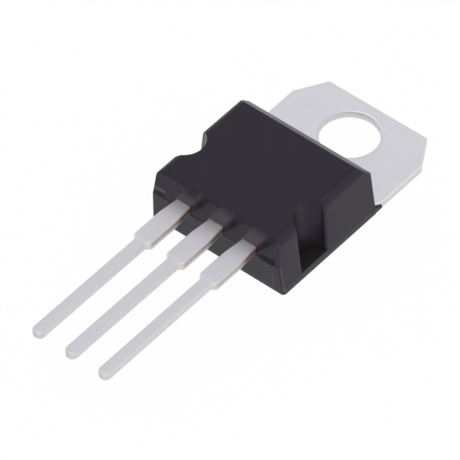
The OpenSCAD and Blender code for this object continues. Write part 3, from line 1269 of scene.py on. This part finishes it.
    def _notch(self, z: float, side_x: float) -> np.ndarray:
        """Outlines the right notch at a height, from the rear to the front.

        Args:
            z: The height.
            side_x: Half width of the case there.

        Returns:
            Points from the side wall round the notch and back to the side wall.
        """
        share = (z - self.floor_z) / (self.top_z - self.floor_z)
        radius = self.notch_r[0] + share * (self.notch_r[1] - self.notch_r[0])
        over = max(0.0, z - (self.top_z - self.rim_r))
        radius += self.rim_r - math.sqrt(max(self.rim_r ** 2 - over ** 2, 0.0))
        centre_y = self.front_y + self.notch_to_front - share * self.notch_lean
        edge = self.notch_edge_r
        edge_x = side_x - edge
        reach = math.sqrt((radius + edge) ** 2 - (self.half_w - edge_x) ** 2)
        start = math.atan2(reach, edge_x - self.half_w)
        wall = (self.half_w, centre_y) + radius * ray(np.linspace(start, 2 * math.pi - start, NOTCH_POINTS))
        bend = np.linspace(0, start - math.pi, EDGE_POINTS)[:-1]
        rear_arc = (edge_x, centre_y + reach) + edge * ray(bend)
        front_arc = (edge_x, centre_y - reach) + edge * ray(-bend)[::-1]
        return np.concatenate((rear_arc, wall, front_arc))

    def _half(self, z: float, above: bool, corner_r: float, dimple: Dimple) -> np.ndarray:
        """Outlines one half of the case at a height, as a right half, from the rear's middle to the front's.

        Args:
            z: The height.
            above: Whether the outline belongs to what lies above that height, where the form steps.
            corner_r: Radius of the upright front edge.
            dimple: The half's dimple.

        Returns:
            The half outline's points.
        """
        notched = z > self.floor_z or (z == self.floor_z and above)
        high = z > self.part_z or (z == self.part_z and above)
        side_x, rear = self._at(self.side, z), self._at(self.rear, z)
        front = self._at(self.high_front if high else self.low_front, z)
        rear_r = float(np.interp(z, *self.rear_corner_r))
        notch = self._notch(max(z, self.floor_z), side_x)
        if not notched:
            notch[:, 0] = side_x
        quarter = np.linspace(0, math.pi / 2, CORNER_POINTS)
        rear_arc = (side_x - rear_r, rear - rear_r) + rear_r * ray(quarter)[:, ::-1]
        front_arc = (side_x - corner_r, front + corner_r) + corner_r * ray(-quarter)
        flat_x = np.linspace(0, side_x - rear_r, FLAT_POINTS)[:-1]
        rear_flat = np.stack((flat_x, np.full_like(flat_x, rear)), 1)
        behind = self._run(rear_arc[-1], notch[0])
        before = self._run(notch[-1], front_arc[0])
        dimple_x = np.linspace(side_x - corner_r, self.half_w - self.dimple_reach, DIMPLE_POINTS)[1:]
        front_x = np.concatenate((dimple_x, np.linspace(dimple_x[-1], 0, FLAT_POINTS + 1)[1:]))
        front_flat = np.stack((front_x, np.full_like(front_x, front)), 1)
        half = np.concatenate((rear_flat, rear_arc, behind, notch, before, front_arc, front_flat))
        return self._dimpled(half, z, self.lip[high], dimple)

    @staticmethod
    def _run(start: np.ndarray, end: np.ndarray) -> np.ndarray:
        """Returns the points between two points, without the two."""
        return start + (end - start) * np.linspace(0, 1, WALL_POINTS + 2)[1:-1, None]

    def _dimpled(self, half: np.ndarray, z: float, lip: float, dimple: Dimple) -> np.ndarray:
        """Presses a dimple into the front of a half outline.

        Args:
            half: The right half outline.
            z: Its height.
            lip: Width over which the dimple's lip is rounded there.
            dimple: The dimple.

        Returns:
            The half outline with the dimple.
        """
        across = half[:, 0] - (self.half_w - dimple.inset)
        groove = self.front_y + dimple.depths(across, z - self.part_z)
        near = (half[:, 1] < self.front_y + self.dimple_far) & (np.abs(across) < dimple.radius)
        meet = np.maximum(lip - np.abs(groove - half[:, 1]), 0) / lip
        out = half.copy()
        out[near, 1] = (np.maximum(groove, half[:, 1]) + meet ** 2 * lip / 4)[near]
        return out

    def _outline(self, z: float, above: bool = True) -> np.ndarray:
        """Returns the whole outline at a height, counterclockwise."""
        output_r = float(np.interp(z, *self.output_corner_r))
        output_half = self._half(z, above, output_r, self.output_dimple)
        input_half = self._half(z, above, self.input_corner_r, self.input_dimple)
        return np.concatenate((output_half, input_half[1:-1][::-1] * (-1, 1)))[::-1]

    def _block(self) -> bpy.types.Object:
        """Builds the case without the wedges and the recess for the sheet."""
        shell = Shell()
        rings: list[list[int]] = []
        for z in self._levels():
            if z in (self.floor_z, self.part_z):
                rings.append(shell.ring(self._outline(z, above=False), z))
            rings.append(shell.ring(self._outline(z), z))
        for lower, upper in zip(rings, rings[1:]):
            shell.band(lower, upper)
        shell.faces.extend((rings[0], rings[-1]))
        return shell.object(self.name)

    def _wedge(self, side: Side) -> bpy.types.Object:
        """Builds the wedge of moulding beside the tab on one side."""
        tab_x = self.places.frame_high.x
        rear, end = self.rear_y, self.rear_y + self.pad.wedge_l
        inner_x, inner_y = tab_x - self.pad.wedge_w, rear - self.wedge_root
        low_r, high_r = self.wedge_r
        corners = [Corner(inner_x, inner_y), Corner(tab_x, inner_y), Corner(tab_x, end, high_r),
                   Corner(inner_x, rear)]
        top = self.floor_z * self.wedge_h
        shell = Shell()
        levels = [(low_r, 0), (0, low_r), (0, top - high_r), (high_r, top)]
        shell.stack((on_side(rounded(corners), side), levels))
        made = shell.object("wedge")
        for vertex in made.data.vertices:
            vertex.co.z *= np.interp(vertex.co.y, (rear, end), (1.0, self.wedge_thin))
        return made

    def _recess(self) -> bpy.types.Object:
        """Builds the shape of the sheet's neck and pad, which stay bare at the back."""
        neck_x = self.places.frame_high.x - self.pad.wedge_w - self.sheet_gap
        pad_x = self.half_w - self.pad.side_wall - self.sheet_gap
        neck_y, end_y = self.rear_y - self.pad.neck_l, self.rear_y - self.pad.length
        neck_r, shoulder_r, end_r = self.recess_r
        right = [Corner(pad_x, end_y, end_r), Corner(pad_x, neck_y, shoulder_r),
                 Corner(neck_x, neck_y, neck_r), Corner(neck_x, self.rear_y + OVERSHOOT)]
        shell = Shell()
        levels = [(0, -OVERSHOOT / 2), (0, self.floor_z * self.recess_h)]
        shell.stack((rounded([*right, *mirrored(right)]), levels))
        return shell.object("recess")

    def build(self) -> bpy.types.Object:
        """Builds the case.

        Returns:
            The case, in millimetres.
        """
        made = self._block()
        for side in Side:
            reshape(made, self._wedge(side), Cut.JOIN)
        reshape(made, self._recess(), Cut.REMOVE)
        return made


@dataclass(frozen=True)
class LeadShape:
    """Outline of a lead outside the case."""

    root_w: float = 1.12  # width of the root at the case
    root_l: float = 1.38  # length over which the root widens
    wide_w: float = 1.38  # width of the wide part
    shoulder_l: float = 3.64  # distance from the case to the shoulder
    slope_l: float = 0.28  # length of the slope at the shoulder
    narrow_w: float = 0.8  # width of the narrow part
    tip_r: float = 0.37  # radius of each corner at the tip
    slope_r: tuple[float, float] = (0.12, 0.15)  # radii at the slope's narrow and wide end
    wide_r: float = 0.6  # radius where the root meets the wide part
    root_r: float = 0.2  # radius at the case

    def right_edge(self, x: float, front_y: float, tip_y: float) -> list[Corner]:
        """Returns the corners of the lead's right edge, from the tip to the case.

        Args:
            x: Place of the lead's middle.
            front_y: Place of the case's front.
            tip_y: Place of the tip.

        Returns:
            The corners, without the one inside the case.
        """
        root, wide, narrow = self.root_w / 2, self.wide_w / 2, self.narrow_w / 2
        shoulder_y = front_y - self.shoulder_l
        root_y = front_y - self.root_l
        return [Corner(x + narrow, tip_y, self.tip_r),
                Corner(x + narrow, shoulder_y - self.slope_l, self.slope_r[0]),
                Corner(x + wide, shoulder_y, self.slope_r[1]), Corner(x + wide, root_y, self.wide_r),
                Corner(x + root, front_y, self.root_r)]


@dataclass
class OuterLead(Piece):
    """An outer lead with its bonding post inside the case."""

    places: Places
    side: Side  # which side the lead is on
    name: str
    node: str
    shape: LeadShape = LeadShape()
    edge: StampedEdge = StampedEdge(roll=0.13)
    post_l: float = 1.2  # length of the post
    post_r: float = 0.16  # radius of the post's corners
    neck_r: float = 0.1  # radius where the lead meets the post

    def build(self) -> bpy.types.Object:
        """Builds the lead.

        Returns:
            The lead, in millimetres.
        """
        x = self.places.pitch
        near, far = self.places.post_x
        rear, root = self.places.post_rear_y, self.shape.root_w / 2
        front = rear - self.post_l
        right = self.shape.right_edge(x, self.places.case_low.y, self.places.frame_low.y)
        ends = ((far, front), (far, rear), (near, rear), (near, front))
        post = [Corner(x + root, front, self.neck_r), *(Corner(*end, self.post_r) for end in ends),
                Corner(x - root, front, self.neck_r)]
        loop = rounded([*right, *post, *mirrored(right, x)])
        levels = self.edge.levels(self.places.lead_z, self.places.lead_z + self.places.sheet_t)
        shell = Shell()
        shell.stack((on_side(loop, self.side), levels))
        return shell.object(self.name)


@dataclass
class TabFrame(Piece):
    """The tab with its hole, the pad behind it and the centre lead, stamped flat and bent up once."""

    places: Places
    name: str = "tab_and_centre_lead"
    node: str = "tab_frame"
    shape: LeadShape = LeadShape()
    edge: StampedEdge = StampedEdge(roll=0.1)
    hole_edge: StampedEdge = StampedEdge(roll=0.2, tear=0.02, burr=0.06)  # form of the pierced hole's edge
    chamfer_w: float = 1.23  # width of each corner chamfer
    chamfer_l: float = 2.1  # length of each corner chamfer
    exposed_l: float = 6.52  # length of the tab outside the case
    pad: Pad = Pad()
    jog_l: float = 1.5  # length that the sheet takes to rise to the leads
    bend_r: float = 0.42  # radius of the two bends, to the sheet's middle
    inner_r: float = 0.1  # radius of the outline's small corners
    pad_r: float = 0.2  # radius of the pad's corners
    rear_r: float = 0.05  # radius where the neck leaves the case
    tab_r: float = 0.14  # radius of the tab's corners

    def _spine(self) -> np.ndarray:
        """Returns the middle of the bent sheet as Y and Z, from the tab's end to the tip."""
        half_t = self.places.sheet_t / 2
        end_y = self.places.frame_high.y
        pad_y = end_y - self.exposed_l - self.pad.length
        lead_z = self.places.lead_z + half_t
        shift = half_t * math.tan(math.atan(self.places.lead_z / self.jog_l) / 2)
        corners = [Corner(end_y, half_t), Corner(pad_y + shift, half_t, self.bend_r),
                   Corner(pad_y - self.jog_l + shift, lead_z, self.bend_r),
                   Corner(self.places.frame_low.y, lead_z)]
        return rounded(corners, closed=False, turn=6)

    def _flat_corners(self, grown: float) -> list[Corner]:
        """Returns the right half of the flat outline, from the tip to the tab's end.

        Args:
            grown: How much longer the flat sheet is than the bent one.

        Returns:
            The corners of the right half.
        """
        end_y = self.places.frame_high.y
        tab_x = self.places.frame_high.x
        neck_x = tab_x - self.pad.wedge_w
        pad_x = self.places.case_high.x - self.pad.side_wall
        rear_y = end_y - self.exposed_l
        neck_y, pad_y = rear_y - self.pad.neck_l, rear_y - self.pad.length
        lead = self.shape.right_edge(0, self.places.case_low.y, self.places.frame_low.y)
        lead = [Corner(corner.x, corner.y - grown, corner.r) for corner in lead]
        return [*lead, Corner(self.shape.root_w / 2, pad_y, self.inner_r), Corner(pad_x, pad_y, self.pad_r),
                Corner(pad_x, neck_y, self.inner_r), Corner(neck_x, neck_y, self.inner_r),
                Corner(neck_x, rear_y, self.rear_r), Corner(tab_x, rear_y + self.pad.wedge_l, self.inner_r),
                Corner(tab_x, end_y - self.chamfer_l, self.tab_r),
                Corner(tab_x - self.chamfer_w, end_y, self.tab_r)]

    def _bend(self, made: bpy.types.Object, spine: np.ndarray) -> None:
        """Lays the flat sheet along the spine.

        Args:
            made: The flat sheet.
            spine: Middle of the bent sheet.
        """
        half_t = self.places.sheet_t / 2
        legs = np.linalg.norm(np.diff(spine, axis=0), axis=1)
        along = np.concatenate(([0], np.cumsum(legs)))
        heading = np.gradient(spine, along, axis=0)
        heading /= np.linalg.norm(heading, axis=1)[:, None]
        work = bmesh.new()
        work.from_mesh(made.data)
        end_y = self.places.frame_high.y
        for distance in along[1:-1]:
            everything = [*work.verts, *work.edges, *work.faces]
            bmesh.ops.bisect_plane(work, geom=everything, dist=HAIR, plane_co=(0, end_y - distance, 0),
                                   plane_no=(0, 1, 0))
        for vertex in work.verts:
            distance = end_y - vertex.co.y
            y, z = (np.interp(distance, along, spine[:, axis]) for axis in (0, 1))
            ahead_y, ahead_z = (np.interp(distance, along, heading[:, axis]) for axis in (0, 1))
            off = vertex.co.z - half_t
            vertex.co.y, vertex.co.z = y + off * ahead_z, z - off * ahead_y
        work.to_mesh(made.data)
        work.free()

    def build(self) -> bpy.types.Object:
        """Builds the frame.

        Returns:
            The frame, in millimetres.
        """
        spine = self._spine()
        length = float(np.linalg.norm(np.diff(spine, axis=0), axis=1).sum())
        grown = length - (self.places.frame_high.y - self.places.frame_low.y)
        right = self._flat_corners(grown)
        shell = Shell()
        outline = rounded([*right, *mirrored(right)])
        shell.stack((outline, self.edge.levels(0.0, self.places.sheet_t)),
                    (circle(self.places.hole_r), self.hole_edge.levels(0.0, self.places.sheet_t)))
        made = shell.object(self.name)
        self._bend(made, spine)
        return made


@dataclass(frozen=True)
class ChipSet:
    """The chip, its solder and its bond wires, which keep their solids."""

    finishes: Mapping[str, Finish]

    def dress(self) -> None:
        """Gives each kept solid its finish."""
        made: dict[str, bpy.types.Material] = {}
        for node, finish in self.finishes.items():
            if finish.slot not in made:
                made[finish.slot] = finish.material()
            solid = frame["nodes"][node]
            solid.data.materials.clear()
            solid.data.materials.append(made[finish.slot])
            LOG.info("%s keeps its solid with the finish %s", node, finish.slot)


# ---------------------------------------------------------------- studio


@dataclass(frozen=True)
class Lamp:
    """A square soft lamp."""

    name: str
    azimuth: float  # direction of the lamp from the part, in degrees from -Y towards +X
    elevation: float  # height of that direction in degrees
    distance: float  # distance from the part in millimetres
    size: float  # width of the lamp in millimetres
    power: float  # power in watts

    def place(self, aim: Vector) -> None:
        """Hangs the lamp so that it faces a point.

        Args:
            aim: The point, in millimetres.
        """
        away = direction(self.azimuth, self.elevation)
        light = bpy.data.lights.new(self.name, "AREA")
        light.shape = "SQUARE"
        light.size = self.size * MM
        light.energy = self.power
        hung = bpy.data.objects.new(self.name, light)
        hung.location = (aim + away * self.distance) * MM
        hung.rotation_euler = away.to_track_quat("Z", "Y").to_euler()
        bpy.context.scene.collection.objects.link(hung)


def direction(azimuth: float, elevation: float) -> Vector:
    """Returns the unit vector towards a direction.

    Args:
        azimuth: Degrees from -Y towards +X.
        elevation: Degrees above the floor.

    Returns:
        The unit vector.
    """
    flat = math.cos(math.radians(elevation))
    turn = math.radians(azimuth)
    return Vector((math.sin(turn) * flat, -math.cos(turn) * flat, math.sin(math.radians(elevation))))


@dataclass(frozen=True)
class Studio:
    """White sweep, soft lamps and the camera."""

    azimuth: float = 39.7048  # camera's direction in degrees from -Y towards +X
    elevation: float = 46.8296  # camera's height in degrees
    distance: float = 340.1  # camera's distance from the point that it faces, in millimetres
    lens: float = 442.84  # focal length in millimetres
    sensor: float = 36.0  # width of the sensor in millimetres
    # The point that the camera faces, from the middle of the part, in millimetres
    aim_offset: tuple[float, float, float] = (-0.7465, 1.184, -2.1258)
    # The soft lamps
    lamps: tuple[Lamp, ...] = (
        Lamp("overhead", -25.0, 72.0, 420.0, 360.0, 0.24),
        Lamp("left_fill", -70.0, 35.0, 420.0, 300.0, 0.10),
    )
    ambient: float = 0.8  # level of the light that comes from all round
    glow: float = 0.97  # share of the floor's white that doesn't depend on the lamps
    paper: Colour = (0.92, 0.92, 0.92)
    floor_half: float = 2.0  # half width of the floor in metres
    floor_gap: float = 0.00002  # gap below the part in metres
    clip: tuple[float, float] = (0.01, 10.0)  # nearest and furthest that the camera sees, in metres

    def middle(self) -> Vector:
        """Returns the middle of the part in millimetres."""
        low, high = CAD_BOX
        return (low + high) / 2 / MM

    @staticmethod
    def _seen(graph: Graph) -> Value:
        """Returns 1 for rays that show the background: camera, glossy and transmitted rays."""
        path = graph.node("ShaderNodeLightPath")
        return path["Is Camera Ray"].most(path["Is Glossy Ray"]).most(path["Is Transmission Ray"])

    def _sweep(self) -> None:
        """Makes the white floor, which keeps the part's soft shadow."""
        mesh = bpy.data.meshes.new("floor")
        square = ((-1, -1), (1, -1), (1, 1), (-1, 1))
        corners = [(x * self.floor_half, y * self.floor_half, 0) for x, y in square]
        mesh.from_pydata(corners, [], [(0, 1, 2, 3)])
        floor = bpy.data.objects.new("floor", mesh)
        floor.location.z = CAD_BOX[0].z - self.floor_gap
        bpy.context.scene.collection.objects.link(floor)
        material = bpy.data.materials.new("sweep")
        material.use_nodes = True
        graph = Graph(material.node_tree)
        paper = graph.node("ShaderNodeBsdfDiffuse", None, {"Color": self.paper})[0]
        white = graph.node("ShaderNodeEmission", None, {"Color": (1.0, 1.0, 1.0), "Strength": 1.0})[0]
        glow = self._seen(graph) * self.glow
        lit = graph.node("ShaderNodeMixShader", None, {0: glow, 1: paper, 2: white})[0]
        clear = graph.node("ShaderNodeBsdfTransparent")[0]
        under = graph.node("ShaderNodeNewGeometry")["Backfacing"]
        graph.surface(graph.node("ShaderNodeMixShader", None, {0: under, 1: lit, 2: clear})[0])
        mesh.materials.append(material)

    def _world(self) -> None:
        """Makes the light that comes from all round."""
        world = bpy.data.worlds.new("light_tent")
        world.use_nodes = True
        bpy.context.scene.world = world
        graph = Graph(world.node_tree)
        level = self.ambient + self._seen(graph) * (1 - self.ambient)
        grey = graph.node("ShaderNodeCombineColor", None, {0: level, 1: level, 2: level})[0]
        shader = graph.node("ShaderNodeBackground", None, {"Color": grey, "Strength": 1.0})[0]
        graph.surface(shader, "ShaderNodeOutputWorld")

    def _camera(self) -> None:
        """Places the camera."""
        data = bpy.data.cameras.new("camera")
        data.lens = self.lens
        data.sensor_width = self.sensor
        data.clip_start, data.clip_end = self.clip
        camera = bpy.data.objects.new("camera", data)
        away = direction(self.azimuth, self.elevation)
        aim = self.middle() + Vector(self.aim_offset)
        camera.location = (aim + away * self.distance) * MM
        camera.rotation_euler = away.to_track_quat("Z", "Y").to_euler()
        bpy.context.scene.collection.objects.link(camera)
        bpy.context.scene.camera = camera

    def build(self) -> None:
        """Builds the floor, the light and the camera."""
        bpy.context.scene.view_settings.view_transform = "Standard"
        self._sweep()
        self._world()
        for lamp in self.lamps:
            lamp.place(self.middle())
        self._camera()


# ---------------------------------------------------------------- the whole part


def write_sizes() -> None:
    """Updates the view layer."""
    bpy.context.view_layer.update()


def main() -> None:
    """Builds and dresses every piece, then the studio."""
    logging.basicConfig(level=logging.INFO, format="%(name)s: %(message)s")
    places = Places.read()
    moulding = MouldingCompound(
        parting_z=places.lead_z, front_y=places.case_low.y, top_z=places.case_high.z,
        half_w=places.case_high.x, root_z=places.lead_z + places.sheet_t, pitch=places.pitch)
    plating = PlatedCopper(lead_z=places.lead_z, sheet_t=places.sheet_t, hole_r=places.hole_r,
                           tip_y=places.frame_low.y)
    metal = plating.material()
    jobs: list[tuple[Piece, Finish, bpy.types.Material]] = [
        (Case(places), moulding, moulding.material()),
        (TabFrame(places), plating, metal),
        (OuterLead(places, Side.LEFT, "input_lead_stamping", "input_lead"), plating, metal),
        (OuterLead(places, Side.RIGHT, "output_lead_stamping", "output_lead"), plating, metal),
    ]
    for piece, finish, material in jobs:
        made = piece.build()
        piece.dress(made, finish, material)
        LOG.info("%s: %d faces", made.name, len(made.data.polygons))
    wire = DrawnWire()
    ChipSet({
        "silicon_die": Silicon(),
        "die_solder": SoftSolder(),
        "input_wire": wire,
        "output_wire": wire,
        "output_sense_wire": wire,
        "ground_wire": wire,
    }).dress()
    Studio().build()
    write_sizes()


if __name__ == "__main__":
    main()
